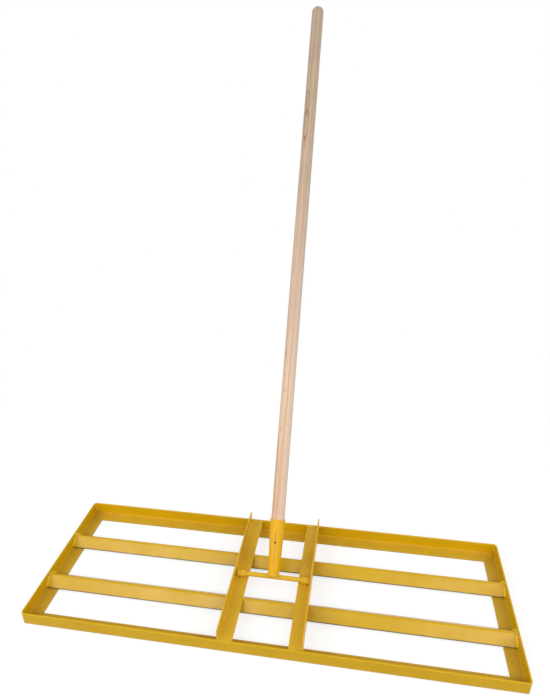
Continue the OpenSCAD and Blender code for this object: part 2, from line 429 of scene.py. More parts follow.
@dataclass(frozen=True)
class PaintFinish:
    """Satin enamel over steel, in one tone of yellow. Lengths are in metres, shares from 0 to 1.

    Attributes:
        name: The material's name.
        coat: Colour of the full coat.
        heavy: Colour where the coat lies thick.
        thin_coat_highlight: Colour along edges and bends: a painted highlight, partly the thinner coat there.
        roughness: Roughness of the coat.
        gloss: Specular level of the coat.
        patch: Width of the drifts of tone.
        toe: Height over the ground of the lowest edges, where the painted shadow line starts.
        dust: Colour of the dust near the ground.
        dust_height: How high the dust reaches.
        edge_shadow: Colour of the painted shadow along the lowest edges.
        edge_shadow_height: How high the painted shadow reaches over the toe.
        wear_and_highlight_reach: Width of the painted highlight along the edges.
        wear_and_highlight_break: Length of the pieces of that line.
        dimple: Distance from one dimple of the coat to the next.
        dimple_depth: Depth of the dimples.
        nibs_per_metre: How close the nibs in the coat lie.
        nib_cut: Where in the noise a nib starts, and where it is full.
        nib_height: Height of a nib, in dimples.
        heavy_share: How far the thick coat's colour shows.
        highlight_share: How far the painted edge highlight shows.
        dust_share: How far the dust shows.
        drift_rough: Roughness added by the drifts of tone.
        dust_rough: Roughness added by the dust.
    """

    name: str
    coat: Colour
    heavy: Colour
    thin_coat_highlight: Colour
    roughness: float = 0.26
    gloss: float = 0.16
    patch: float = 0.09
    toe: float = 0.0
    dust: Colour = (0.40, 0.27, 0.10, 1.0)
    dust_height: float = 7 * MM
    edge_shadow: Colour = (0.13, 0.09, 0.03, 1.0)
    edge_shadow_height: float = 2 * MM
    wear_and_highlight_reach: float = 2.4 * MM
    wear_and_highlight_break: float = 14 * MM
    dimple: float = 1.8 * MM
    dimple_depth: float = 0.05 * MM
    nibs_per_metre: float = 700.0
    nib_cut: Pair = (0.74, 0.80)
    nib_height: float = 0.8
    heavy_share: float = 0.55
    highlight_share: float = 0.80
    dust_share: float = 0.35
    drift_rough: float = 0.07
    dust_rough: float = 0.18

    def material(self, effects: Effects) -> bpy.types.Material:
        """Mixes the paint.

        Args:
            effects: The shared effects.

        Returns:
            The paint as a material.
        """
        bench = MaterialBench(self.name)
        spot = bench.position
        drift = bench.effect(effects.tone_drift, "Drift", Position=spot, Patch=self.patch)
        # Painted highlight along edges and bends, partly a thinner coat there
        worn_and_lit_edge = bench.effect(effects.edge_wear_and_highlight, "Mask", Position=spot, Reach=self.wear_and_highlight_reach,
                            Break=self.wear_and_highlight_break)
        dusty = bench.effect(effects.ground_dust_and_shadow, "Mask", Position=spot, Height=self.dust_height)
        # Painted shadow: a dark line along the lowest edges, from the toe up
        edge_shadow_mask = bench.effect(effects.ground_dust_and_shadow, "Mask", Position=spot, Foot=self.toe,
                             Height=self.edge_shadow_height)
        dimples = bench.effect(effects.dimples, "Height", Position=spot, Dimple=self.dimple)
        nibs = bench.spread(bench.noise(spot, self.nibs_per_metre, detail=0.0), *self.nib_cut)

        colour = bench.tint(drift, self.heavy_share, self.coat, self.heavy)
        # Lay the painted edge highlight
        colour = bench.tint(worn_and_lit_edge, self.highlight_share, colour, self.thin_coat_highlight)
        colour = bench.tint(dusty, self.dust_share, colour, self.dust)
        # Lay the painted shadow over the lowest edges
        colour = bench.mix(edge_shadow_mask, colour, self.edge_shadow)
        rough = bench.math("MULTIPLY_ADD", drift, self.drift_rough, self.roughness)
        rough = bench.math("MULTIPLY_ADD", dusty, self.dust_rough, rough)
        height = bench.math("MULTIPLY_ADD", nibs, self.nib_height, dimples)
        return bench.surface({
            "Base Color": colour, "Roughness": rough,
            "Normal": bench.relief(height, self.dimple_depth), "Specular IOR Level": self.gloss})


# One yellow enamel: the rail coat is plain, the side and bar coats are darker copies for painted shade, the
# pivot, weld and socket coats lighter copies for painted light
ENAMELS: dict[Coat, PaintFinish] = {
    Coat.PIVOT: PaintFinish(
        "lit_pivot_enamel", (0.75, 0.465, 0.028, 1.0), (0.66, 0.39, 0.016, 1.0), (0.82, 0.55, 0.09, 1.0)),
    Coat.RAIL: PaintFinish(
        "rail_enamel", (0.72, 0.43, 0.005, 1.0), (0.63, 0.375, 0.003, 1.0), (0.90, 0.60, 0.09, 1.0)),
    Coat.SIDE: PaintFinish(
        "shaded_side_enamel", (0.66, 0.395, 0.004, 1.0), (0.58, 0.345, 0.003, 1.0), (0.88, 0.58, 0.08, 1.0)),
    Coat.BAR: PaintFinish(
        "shaded_bar_enamel", (0.65, 0.39, 0.008, 1.0), (0.57, 0.34, 0.004, 1.0), (0.76, 0.49, 0.06, 1.0),
        # The bars' painted shadow line starts at their lowest edge
        gloss=0.26, toe=5.2 * MM),
    Coat.WELD: PaintFinish(
        "lit_weld_enamel", (0.84, 0.56, 0.03, 1.0), (0.74, 0.48, 0.02, 1.0), (0.90, 0.62, 0.10, 1.0)),
    Coat.SOCKET: PaintFinish(
        "lit_socket_enamel", (0.86, 0.455, 0.010, 1.0), (0.77, 0.40, 0.006, 1.0), (0.92, 0.58, 0.06, 1.0),
        gloss=0.30, patch=0.05),
}


@dataclass(frozen=True)
class GrainEye:
    """A mark in the wood where the rings close round a swelling.

    Attributes:
        centre: Its place from the axle: right, back and along the handle, in metres.
        reach: Its size along the same axes.
        lift: How far it pushes the rings, in metres.
        stain: How dark its middle is, from 0 to 1.
        rim: How dark the loop round it is, from 0 to 1.
    """

    centre: Triple
    reach: Triple
    lift: float
    stain: float
    rim: float = 0.0


@dataclass(frozen=True)
class PineFinish:
    """Bare sanded pine, with long rings, fibres and a few eyes in the grain.

    Lengths are in metres, shares from 0 to 1, and zones are shares of the length along the handle.

    Attributes:
        name: The material's name.
        axle: Where the handle's axis starts.
        lean: How far the handle leans back, in radians.
        length: The measure for the zones along the handle.
        pith: The heart of the tree, right and back of the handle's axis.
        ring: Width of a year's ring.
        slope: How fast the rings run out along the handle.
        ring_stops: Where in a ring the late wood starts, is darkest and ends.
        sway: How far the rings waver.
        sway_size: Width and length of a waver.
        fibre_size: Width and length of a fibre.
        fibre_cut: Where in the noise a fibre starts, and where it is dark.
        fibre_share: How dark the fibres are.
        blush_size: Width and length of a pink streak.
        blush_cut: Where in the noise a pink streak starts, and where it is full.
        blush_share: How pink the streaks are.
        pink_gain: How much pinker they are in the middle of the handle.
        pink_start: Zone in which the pinker stretch begins.
        pink_end: Zone in which it ends.
        right_light_span: Where the painted light on the right side starts right of the axis, and where it is
            full.
        right_light_end: Zone in which that painted light ends.
        right_light_share: How pale that painted light makes the wood.
        grey_zone: Zone in which the wood greys.
        grey_share: How far it greys.
        grey_drift: How much that changes from patch to patch.
        patch: Width of those patches.
        stain_cut: Where on an eye its stain starts, and where it is full.
        rim_rise: Where on an eye its dark loop starts, and where it is full.
        rim_fall: Where that loop fades, and where it ends.
        roughness: Roughness between the fibres.
        fibre_rough: Roughness added by the fibres.
        gloss: Specular level of the sanded wood.
        relief: Height of the fibres.
        ring_relief: Height of the rings, in fibres.
        early: Colour of the early wood.
        late: Colour of the late wood and of the fibres.
        blush: Colour of the pink streaks.
        right_light_tone: Pale colour painted on the right side as light falling from the right.
        knot: Colour of the eyes.
        weathering: Grey that the wood is multiplied with towards the top.
        eyes: The marks in the grain.
    """

    name: str
    axle: Triple
    lean: float
    length: float
    pith: Triple = (26 * MM, 47 * MM, 0.0)
    ring: float = 6.0 * MM
    slope: float = 0.005
    ring_stops: Triple = (0.52, 0.86, 0.97)
    sway: float = 5 * MM
    sway_size: Pair = (18 * MM, 0.25)
    fibre_size: Pair = (0.5 * MM, 45 * MM)
    fibre_cut: Pair = (0.40, 0.75)
    fibre_share: float = 0.28
    blush_size: Pair = (5 * MM, 0.35)
    blush_cut: Pair = (0.35, 0.66)
    blush_share: float = 0.5
    pink_gain: float = 0.7
    pink_start: Pair = (0.38, 0.52)
    pink_end: Pair = (0.70, 0.90)
    right_light_span: Pair = (2 * MM, 13 * MM)
    right_light_end: Pair = (0.5, 1.0)
    right_light_share: float = 0.55
    grey_zone: Pair = (0.2, 1.0)
    grey_share: float = 0.55
    grey_drift: float = 0.25
    patch: float = 0.16
    stain_cut: Pair = (0.35, 0.95)
    rim_rise: Pair = (0.16, 0.34)
    rim_fall: Pair = (0.40, 0.60)
    roughness: float = 0.52
    fibre_rough: float = 0.16
    gloss: float = 0.45
    relief: float = 0.06 * MM
    ring_relief: float = 0.35
    early: Colour = (0.80, 0.60, 0.41, 1.0)
    late: Colour = (0.61, 0.37, 0.22, 1.0)
    blush: Colour = (0.74, 0.47, 0.34, 1.0)
    right_light_tone: Colour = (0.90, 0.74, 0.60, 1.0)
    knot: Colour = (0.44, 0.22, 0.12, 1.0)
    weathering: Colour = (0.53, 0.59, 0.64, 1.0)
    eyes: tuple[GrainEye, ...] = (
        GrainEye((-6.0 * MM, -13.7 * MM, 1.135), (4.2 * MM, 4.2 * MM, 0.026), 5.0 * MM, 0.40, 0.70),
        GrainEye((-6.2 * MM, -13.6 * MM, 1.070), (5.0 * MM, 5.0 * MM, 0.036), 6.0 * MM, 0.15, 0.95),
        GrainEye((-9.4 * MM, -11.7 * MM, 0.492), (3 * MM, 3 * MM, 0.020), 2.6 * MM, 0.45),
        GrainEye((-5.8 * MM, -13.8 * MM, 0.410), (2.4 * MM, 2.4 * MM, 0.006), 1.8 * MM, 0.50),
        GrainEye((-6.9 * MM, -13.3 * MM, 0.320), (3 * MM, 3 * MM, 0.012), 2.4 * MM, 0.40),
        GrainEye((10.2 * MM, 10.9 * MM, 0.760), (4 * MM, 4 * MM, 0.018), 3.0 * MM, 0.40),
    )

    def material(self, effects: Effects) -> bpy.types.Material:
        """Grows the wood.

        Args:
            effects: The shared effects.

        Returns:
            The wood as a material.
        """
        bench = MaterialBench(self.name)
        along = bench.add("ShaderNodeMapping", {
            "Vector": bench.position, "Location": self.axle, "Rotation": (-self.lean, 0.0, 0.0)},
            vector_type="TEXTURE").outputs["Vector"]
        rings, stain = self.rings(bench, effects, along)
        fibre = self.streak(bench, effects, along, self.fibre_size)
        streaks = bench.spread(self.streak(bench, effects, along, self.blush_size), *self.blush_cut)
        drift = bench.effect(effects.tone_drift, "Drift", Position=along, Patch=self.patch)
        place = bench.add("ShaderNodeSeparateXYZ", {0: along}).outputs
        pinker = bench.math("SUBTRACT", self.zone(bench, place["Z"], self.pink_start),
                            self.zone(bench, place["Z"], self.pink_end))
        pink = bench.math("MULTIPLY_ADD", pinker, self.pink_gain, self.blush_share)
        # Painted light: the right side of the lower handle is paler
        low_down = bench.math("SUBTRACT", 1.0, self.zone(bench, place["Z"], self.right_light_end))
        right_light_mask = bench.math("MULTIPLY", bench.spread(place["X"], *self.right_light_span), low_down)
        grey = bench.math("MULTIPLY", self.zone(bench, place["Z"], self.grey_zone),
                          bench.math("MULTIPLY_ADD", drift, self.grey_drift, self.grey_share))

        start, darkest, end = self.ring_stops
        colour = bench.ramp(rings, (
            (0.0, self.early), (start, self.early), (darkest, self.late), (end, self.early)))
        colour = bench.tint(streaks, pink, colour, self.blush)
        # Lay the painted light on the right side
        colour = bench.tint(right_light_mask, self.right_light_share, colour, self.right_light_tone)
        colour = bench.tint(bench.spread(fibre, *self.fibre_cut), self.fibre_share, colour, self.late)
        colour = bench.mix(stain, colour, self.knot)
        colour = bench.mix(grey, colour, self.weathering, "MULTIPLY")
        rough = bench.math("MULTIPLY_ADD", fibre, self.fibre_rough, self.roughness)
        height = bench.math("MULTIPLY_ADD", rings, self.ring_relief, fibre)
        return bench.surface({
            "Base Color": colour, "Roughness": rough, "Normal": bench.relief(height, self.relief),
            "Specular IOR Level": self.gloss})

    @staticmethod
    def streak(bench: MaterialBench, effects: Effects, along: Socket, size: Pair) -> Socket:
        """Returns streaks along the handle, of a width and a length."""
        return bench.effect(effects.long_grain, "Streak", Position=along, Across=size[0], Along=size[1])

    def zone(self, bench: MaterialBench, rise: Socket, ends: Pair) -> Socket:
        """Returns a smooth step along the handle, between two shares of the length."""
        return bench.spread(rise, ends[0] * self.length, ends[1] * self.length)

    def rings(self, bench: MaterialBench, effects: Effects, along: Socket) -> tuple[Socket, Socket]:
        """Lays the year rings and the stains of the eyes.

        Args:
            bench: The bench to work on.
            effects: The shared effects.
            along: Position from the axle, Z along the handle.

        Returns:
            The place within a ring, from 0 to 1, and the strength of the stains.
        """
        flat = bench.vector("MULTIPLY", bench.vector("SUBTRACT", along, self.pith), (1.0, 1.0, 0.0))
        rise = bench.add("ShaderNodeSeparateXYZ", {0: along}).outputs["Z"]
        depth = bench.math("MULTIPLY_ADD", rise, self.slope, bench.measure("LENGTH", flat))
        waver = self.streak(bench, effects, along, self.sway_size)
        depth = bench.math("MULTIPLY_ADD", waver, self.sway, depth)
        stain = 0.0
        for eye in self.eyes:
            hill = bench.effect(effects.grain_eye, "Lift", Position=along, Centre=eye.centre, Reach=eye.reach)
            depth = bench.math("MULTIPLY_ADD", hill, eye.lift, depth)
            stain = bench.math("MULTIPLY_ADD", bench.spread(hill, *self.stain_cut), eye.stain, stain)
            if eye.rim:
                loop = bench.math("SUBTRACT", bench.spread(hill, *self.rim_rise),
                                  bench.spread(hill, *self.rim_fall))
                stain = bench.math("MULTIPLY_ADD", loop, eye.rim, stain)
        return bench.math("FRACT", bench.math("DIVIDE", depth, self.ring)), stain


@dataclass(frozen=True)
class ScrewFinish:
    """Dark plated steel, rubbed bright along its edges.

    Attributes:
        name: The material's name.
        plating: Colour of the plating.
        bright: Colour along the rubbed edges.
        metal: How metallic it is, from 0 to 1.
        roughness: Roughness of the plating.
        drift_rough: Roughness added by the drifts of tone.
        patch: Width of those drifts, in metres.
        wear_and_highlight_reach: Width of the rubbed edges.
        wear_and_highlight_break: Length of their pieces.
        dimple: Distance from one dimple to the next.
        dimple_depth: Depth of the dimples.
    """

    name: str
    plating: Colour = (0.09, 0.06, 0.03, 1.0)
    bright: Colour = (0.22, 0.16, 0.09, 1.0)
    metal: float = 0.85
    roughness: float = 0.38
    drift_rough: float = 0.15
    patch: float = 4 * MM
    wear_and_highlight_reach: float = 0.4 * MM
    wear_and_highlight_break: float = 2 * MM
    dimple: float = 0.3 * MM
    dimple_depth: float = 0.02 * MM

    def material(self, effects: Effects) -> bpy.types.Material:
        """Plates the steel.

        Args:
            effects: The shared effects.

        Returns:
            The plated steel as a material.
        """
        bench = MaterialBench(self.name)
        spot = bench.position
        worn_and_lit_edge = bench.effect(effects.edge_wear_and_highlight, "Mask", Position=spot, Reach=self.wear_and_highlight_reach,
                            Break=self.wear_and_highlight_break)
        drift = bench.effect(effects.tone_drift, "Drift", Position=spot, Patch=self.patch)
        dimples = bench.effect(effects.dimples, "Height", Position=spot, Dimple=self.dimple)
        return bench.surface({
            "Base Color": bench.mix(worn_and_lit_edge, self.plating, self.bright),
            "Roughness": bench.math("MULTIPLY_ADD", drift, self.drift_rough, self.roughness),
            "Metallic": self.metal, "Normal": bench.relief(dimples, self.dimple_depth)})


def pick(obj: bpy.types.Object) -> None:
    """Leaves one object selected and active.

    Args:
        obj: The object.
    """
    bpy.ops.object.select_all(action="DESELECT")
    obj.select_set(True)
    bpy.context.view_layer.objects.active = obj


def start_piece(name: str) -> bpy.types.Object:
    """Names the primitive that was just added.

    Args:
        name: The name of the piece and of its mesh.

    Returns:
        The piece.
    """
    piece = bpy.context.active_object
    piece.name = name
    piece.data.name = name
    return piece


def apply_place(piece: bpy.types.Object) -> None:
    """Moves a piece's place into its mesh."""
    pick(piece)
    bpy.ops.object.transform_apply(location=True, rotation=True, scale=True)


def apply_modifier(piece: bpy.types.Object, kind: str, **settings: object) -> None:
    """Adds a modifier and applies it.

    Args:
        piece: The piece to change.
        kind: The modifier's type.
        settings: Properties of the modifier.
    """
    pick(piece)
    modifier = piece.modifiers.new(kind.lower(), kind)
    for label, setting in settings.items():
        setattr(modifier, label, setting)
    bpy.ops.object.modifier_apply(modifier=modifier.name)


def carve(piece: bpy.types.Object, tool: bpy.types.Object) -> None:
    """Cuts a tool's shape out of a piece and throws the tool away.

    Args:
        piece: The piece to cut.
        tool: The cutter, in its place.
    """
    apply_place(tool)
    apply_modifier(piece, "BOOLEAN", operation="DIFFERENCE", object=tool, solver="EXACT")
    bpy.data.meshes.remove(tool.data)


def cut_flat(piece: bpy.types.Object, normal: Triple) -> None:
    """Cuts off what lies behind a plane through the origin, and closes the cut.

    Args:
        piece: The piece to cut.
        normal: The side of the plane that stays.
    """
    pick(piece)
    bpy.ops.object.mode_set(mode="EDIT")
    bpy.ops.mesh.select_all(action="SELECT")
    bpy.ops.mesh.bisect(plane_co=ORIGIN, plane_no=normal, use_fill=True, clear_inner=True)
    bpy.ops.object.mode_set(mode="OBJECT")


def seat(origin: Triple, run: Triple, first: Triple, second: Triple) -> Matrix:
    """Lays a piece in place.

    Args:
        origin: Where its own origin goes.
        run: Where its X axis points.
        first: Where its Y axis points.
        second: Where its Z axis points.

    Returns:
        The matrix that does so, which may mirror the piece.
    """
    turn = Matrix((run, first, second)).transposed()
    return Matrix.Translation(origin) @ turn.to_4x4()


def copies(pattern: bpy.types.Object, seats: Sequence[Matrix]) -> list[bpy.types.Object]:
    """Copies a piece to each seat, each copy with its own mesh, and throws the pattern away.

    Args:
        pattern: The piece, modelled at the origin.
        seats: Where the copies go.

    Returns:
        The copies.
    """
    made = []
    for place in seats:
        copy = pattern.copy()
        copy.data = pattern.data.copy()
        copy.data.transform(place)
        bpy.context.collection.objects.link(copy)
        made.append(copy)
    bpy.data.meshes.remove(pattern.data)
    return made


def join(name: str, parts: Sequence[bpy.types.Object], crease: float = 35.0) -> bpy.types.Object:
    """Joins parts to one piece with its faces outwards and its soft edges smooth.

    Args:
        name: The piece's name.
        parts: The parts, each in its place.
        crease: The angle in degrees past which an edge stays sharp.

    Returns:
        The piece.
    """
    pick(parts[0])
    for part in parts:
        part.select_set(True)
    if len(parts) > 1:
        bpy.ops.object.join()
    piece = start_piece(name)
    pick(piece)
    bpy.ops.object.mode_set(mode="EDIT")
    bpy.ops.mesh.select_all(action="SELECT")
    bpy.ops.mesh.normals_make_consistent(inside=False)
    bpy.ops.object.mode_set(mode="OBJECT")
    bpy.ops.object.shade_smooth_by_angle(angle=math.radians(crease))
    return piece


def dress(obj: bpy.types.Object, material: bpy.types.Material) -> None:
    """Puts one material on a piece or on a node.

    Args:
        obj: The piece or node.
        material: The material.
    """
    if not obj.material_slots:
        obj.data.materials.append(None)
    for slot in obj.material_slots:
        slot.material = material


@dataclass(frozen=True)
class Ripple:
    """One frozen wave of a weld.

    Attributes:
        place: Its middle.
        size: Half its length, width and height.
        turn: How it is turned about each axis, in radians.
    """

    place: Triple
    size: Triple
    turn: Triple = ORIGIN


def pour(name: str, ripples: Sequence[Ripple], grain: float) -> bpy.types.Object:
    """Pours ripples into one lump of weld metal.

    Args:
        name: The lump's name.
        ripples: The waves, from first to last.
        grain: Size of the mesh's faces, in metres.

    Returns:
        The lump.
    """
    bpy.ops.object.select_all(action="DESELECT")
    piece = None
    for ripple in ripples:
        bpy.ops.mesh.primitive_uv_sphere_add(
            segments=20, ring_count=12, radius=1.0,
            location=ripple.place, rotation=ripple.turn, scale=ripple.size)
        if piece is None:
            piece = start_piece(name)
            apply_place(piece)
            bpy.ops.object.mode_set(mode="EDIT")
    bpy.ops.object.mode_set(mode="OBJECT")
    apply_modifier(piece, "REMESH", mode="VOXEL", voxel_size=grain)
    apply_modifier(piece, "SMOOTH", factor=0.5, iterations=2)
    return piece


@dataclass(frozen=True)
class WeldBead:
    """A straight run of weld along X, on the plates Y = 0 and Z = 0 or on Z = 0 alone.

    Attributes:
        name: Its name.
        leg: How far it reaches out on the plates.
        run: Its length.
        kind: How it lies on the steel.
        seed: Sets how its ripples vary.
        pitch: Distance from ripple to ripple, in legs.
        margin: Distance of the first and last ripple from the ends, in legs.
        thickness: Half the length of a ripple, in legs.
        end_swell: Size of a ripple at the very end, as a share of a full one.
        swell: Least and greatest size of a ripple, in legs.
        wander: How far a ripple strays from the line, in legs.
        slant: Least and greatest turn of a ripple, in radians.
        fineness: Faces of the mesh along a leg.
    """

    name: str
    leg: float
    run: float
    kind: BeadKind
    seed: int
    pitch: float = 0.55
    margin: float = 0.45
    thickness: float = 0.62
    end_swell: float = 0.5
    swell: Pair = (0.90, 1.02)
    wander: float = 0.06
    slant: Pair = (0.15, 0.35)
    fineness: int = 9

    def ripples(self) -> Iterator[Ripple]:
        """Lays the waves along the run, smaller at its ends.

        Yields:
            The waves, from first to last.
        """
        dice = random.Random(self.seed)
        least, most = self.slant
        fewest = 3
        count = max(fewest, round((self.run - self.leg) / (self.pitch * self.leg)) + 1)
        start = self.margin * self.leg
        step = (self.run - 2 * start) / (count - 1)
        for number in range(count):
            along = start + number * step
            near_end = min(along, self.run - along) / self.leg
            full = min(1.0, self.end_swell + (1.0 - self.end_swell) * near_end)
            size = full * dice.uniform(*self.swell) * self.leg
            drift = dice.uniform(-self.wander, self.wander) * self.leg
            yield Ripple((along + drift, drift, 0.0), (self.thickness * self.leg, size, size),
                         (0.0, dice.uniform(least, most), dice.uniform(-most, -least)))

    def model(self) -> bpy.types.Object:
        """Pours the bead and cuts it flat on its plates.

        Returns:
            The bead, modelled at the origin.
        """
        bead = pour(self.name, list(self.ripples()), self.leg / self.fineness)
        cut_flat(bead, (0.0, 0.0, 1.0))
        if self.kind is BeadKind.FILLET:
            cut_flat(bead, (0.0, 1.0, 0.0))
        return bead


@dataclass(frozen=True)
class Tack:
    """A short spot of weld along X on the plate Z = 0, centred on the origin.

    Attributes:
        name: Its name.
        radius: How far it reaches out.
        seed: Sets how its lumps vary.
        lumps: Where its lumps lie along X, in radii.
        full: Size of a lump in the middle, in radii.
        fall: How much smaller a lump is for each radius away from it.
        swell: Least and greatest share of that size.
        wander: How far a lump strays sideways, in radii.
        thickness: Length of a lump as a share of its width.
        fineness: Faces of the mesh along a radius.
    """

    name: str
    radius: float
    seed: int
    lumps: Triple = (-0.38, 0.0, 0.34)
    full: float = 0.96
    fall: float = 0.7
    swell: Pair = (0.94, 1.02)
    wander: float = 0.08
    thickness: float = 0.62
    fineness: int = 9

    def model(self) -> bpy.types.Object:
        """Pours the tack and cuts it flat on its plate.

        Returns:
            The tack, modelled at the origin.
        """
        dice = random.Random(self.seed)
        ripples = []
        for place in self.lumps:
            size = self.radius * (self.full - abs(place) * self.fall) * dice.uniform(*self.swell)
            stray = dice.uniform(-self.wander, self.wander) * self.radius
            ripples.append(Ripple((place * self.radius, stray, 0.0), (self.thickness * size, size, size)))
        tack = pour(self.name, ripples, self.radius / self.fineness)
        cut_flat(tack, (0.0, 0.0, 1.0))
        return tack


def hand_over(piece: bpy.types.Object, body: Body, slot: Slot, node: str) -> bpy.types.Object:
    """Lets a finished piece ride on a body and stand for a node.

    Args:
        piece: The piece, in place.
        body: The body that carries it.
        slot: The material slot meant for its finish; not used.
        node: The node that it stands for.

    Returns:
        The same piece.
    """
    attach(piece, body.value)
    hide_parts(node)
    return piece


@dataclass
class AngleFrame:
    """The welded frame: four mitred rails, two levelling bars and two cross angles.

    Attributes:
        paints: Material of each coat.
        wall: Thickness of the angle.
        bend: Outer radius of its bend.
        edge: Radius of its free edges.
        corner_leg: Reach of the beads up the inside corners.
        mitre_leg: Reach of the beads along the mitres.
        bar_leg: Reach of the beads down the ends of the levelling bars.
        cross_leg: Reach of the beads across the ends of the cross angles.
        cross_tack: Reach of the tacks outside those ends.
        ridge_tack: Radius of the tacks between the cross angles and the ridges.
        cap_tack: Radius of the tacks over the ends of the ridges.
        coats: The nodes that wear each coat.
    """

    paints: dict[Coat, bpy.types.Material]
    wall: float = 3 * MM
    bend: float = 5 * MM
    edge: float = 0.8 * MM
    corner_leg: float = 4 * MM
    mitre_leg: float = 1.6 * MM
    bar_leg: float = 4.5 * MM
    cross_leg: float = 2.5 * MM
    cross_tack: float = 2.8 * MM
    ridge_tack: float = 3.2 * MM
    cap_tack: float = 3.4 * MM
    coats: tuple[tuple[Coat, tuple[str, ...]], ...] = (
        (Coat.RAIL, ("front_rail", "back_rail")),
        (Coat.SIDE, ("left_rail", "right_rail")),
        (Coat.BAR, ("front_levelling_bar", "rear_levelling_bar")),
        (Coat.PIVOT, ("left_cross_angle", "right_cross_angle")),
    )

    def __post_init__(self) -> None:
        """Takes the places of the faces from the frame."""
        _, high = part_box("right_rail")
        self.half_x = high[0]
        _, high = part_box("back_rail")
        self.half_y = high[1]
        self.leg = high[2]
        self.inner_x = self.half_x - self.wall
        self.inner_y = self.half_y - self.wall
        low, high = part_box("right_cross_angle")
        self.cross_toe = low[0]
        self.cross_face = high[0]
        self.ridge = low[2]
        low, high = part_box("rear_levelling_bar")
        self.bar_y = (low[1] + high[1]) / 2

    def build(self) -> list[bpy.types.Object]:
        """Dresses the angles and models the welds.

        Returns:
            The welds, a piece for each node of welds.
        """
        for coat, nodes in self.coats:
            for node in nodes:
                dress(frame["nodes"][node], self.paints[coat])
        welds = {
            "corner_welds": self.corner_welds(),
            "front_bar_welds": self.bar_welds("front_bar_weld", -self.bar_y, Seed.FRONT_BAR),
            "rear_bar_welds": self.bar_welds("rear_bar_weld", self.bar_y, Seed.REAR_BAR),
            "cross_end_welds": self.cross_end_welds(),
            "ridge_welds": self.ridge_welds(),
        }
        pieces = []
        for node, parts in welds.items():
            piece = join(node.replace("welds", "weld_beads"), parts)
            # Corner welds wear the plain rail coat; the other beads the lighter weld coat, a painted
            # highlight
            dress(piece, self.paints[Coat.RAIL if node == "corner_welds" else Coat.WELD])
            pieces.append(hand_over(piece, Body.FRAME, Slot.PAINT, node))
        return pieces

    def corner_welds(self) -> list[bpy.types.Object]:
        """Models the beads up the inside corners and along the mitres.

        Returns:
            The beads.
        """
        straight = self.leg - self.edge - self.bend
        rise = WeldBead("corner_rise", self.corner_leg, straight, BeadKind.FILLET, Seed.CORNER_RISE)
        slant = DIAGONAL * straight
        mitre = WeldBead("corner_mitre", self.mitre_leg, slant, BeadKind.FLAT, Seed.CORNER_MITRE)
        rises = []
        mitres = []
        for side, end in product(SIDES, SIDES):
            rises.append(seat((side * self.inner_x, end * self.inner_y, self.bend),
                              (0, 0, 1), (-side, 0, 0), (0, -end, 0)))
            inward = Vector((-side, -end, 0)).normalized()
            mitres.append(seat((side * (self.half_x - self.bend), end * (self.half_y - self.bend), self.wall),
                               inward, Vector((0, 0, 1)).cross(inward), (0, 0, 1)))
        return copies(rise.model(), rises) + copies(mitre.model(), mitres)

    def bar_welds(self, name: str, bar_y: float, seed: int) -> list[bpy.types.Object]:
        """Models the beads down both faces of a levelling bar and the tack over its ridge, at each end.

        Args:
            name: Name of the beads.
            bar_y: Where the bar's ridge lies.
            seed: Sets how the beads vary.

        Returns:
            The beads and the tacks.
        """
        run = self.leg - self.bend - self.bar_leg / 2
        fall = (self.bend + run) / DIAGONAL
        corner = self.ridge + self.bend * (DIAGONAL - 1)
        places = []
        for side, face in product(SIDES, SIDES):
            places.append(seat((side * self.inner_x, bar_y + face * fall, corner - fall),
                               (0, -face / DIAGONAL, 1 / DIAGONAL), (-side, 0, 0),
                               (0, face / DIAGONAL, 1 / DIAGONAL)))
        caps = [seat((side * self.inner_x, bar_y, self.ridge), (0, side, 0), (0, 0, 1), (-side, 0, 0))
                for side in SIDES]
        return (copies(WeldBead(name, self.bar_leg, run, BeadKind.FILLET, seed).model(), places)
                + copies(Tack(name + "_cap", self.cap_tack, seed + 1).model(), caps))

    def cross_end_welds(self) -> list[bpy.types.Object]:
        """Models the beads across the ends of the cross angles, and the tacks outside them.

        Returns:
            The beads and the tacks.
        """
        flat = self.cross_face - self.bend
        top = self.ridge + self.wall
        run = flat - self.cross_toe - self.edge
        bead = WeldBead("cross_end", self.cross_leg, run, BeadKind.FILLET, Seed.CROSS_END)
        tack_run = 2 * self.cross_tack
        tack = WeldBead("cross_tack", self.cross_tack, tack_run, BeadKind.FILLET, Seed.CROSS_TACK)
        tack_foot = self.leg - self.edge - tack_run
        beads = []
        tacks = []
        for side, end in product(SIDES, SIDES):
            beads.append(seat((side * flat, end * self.inner_y, top), (-side, 0, 0), (0, -end, 0), (0, 0, 1)))
            tacks.append(seat((side * self.cross_face, end * self.inner_y, tack_foot),
                              (0, 0, 1), (side, 0, 0), (0, -end, 0)))
        return copies(bead.model(), beads) + copies(tack.model(), tacks)

    def ridge_welds(self) -> list[bpy.types.Object]:
        """Models the tacks between the toes of the cross angles and the ridges under them.

        Returns:
            The tacks.
        """
        above = self.wall / 3
        tack = Tack("ridge_tack", self.ridge_tack, Seed.RIDGE_TACK).model()
        bpy.ops.mesh.primitive_cylinder_add(vertices=RIDGE_SIDES, radius=self.bend, depth=4 * self.bend,
                                            location=(0.0, -above - self.bend, 0.0))
        carve(tack, bpy.context.active_object)
        places = []
        for side, end in product(SIDES, SIDES):
            places.append(seat((side * self.cross_toe, end * self.bar_y, self.ridge + above),
                               (0, end, 0), (0, 0, 1), (-side, 0, 0)))
        return copies(tack, places)


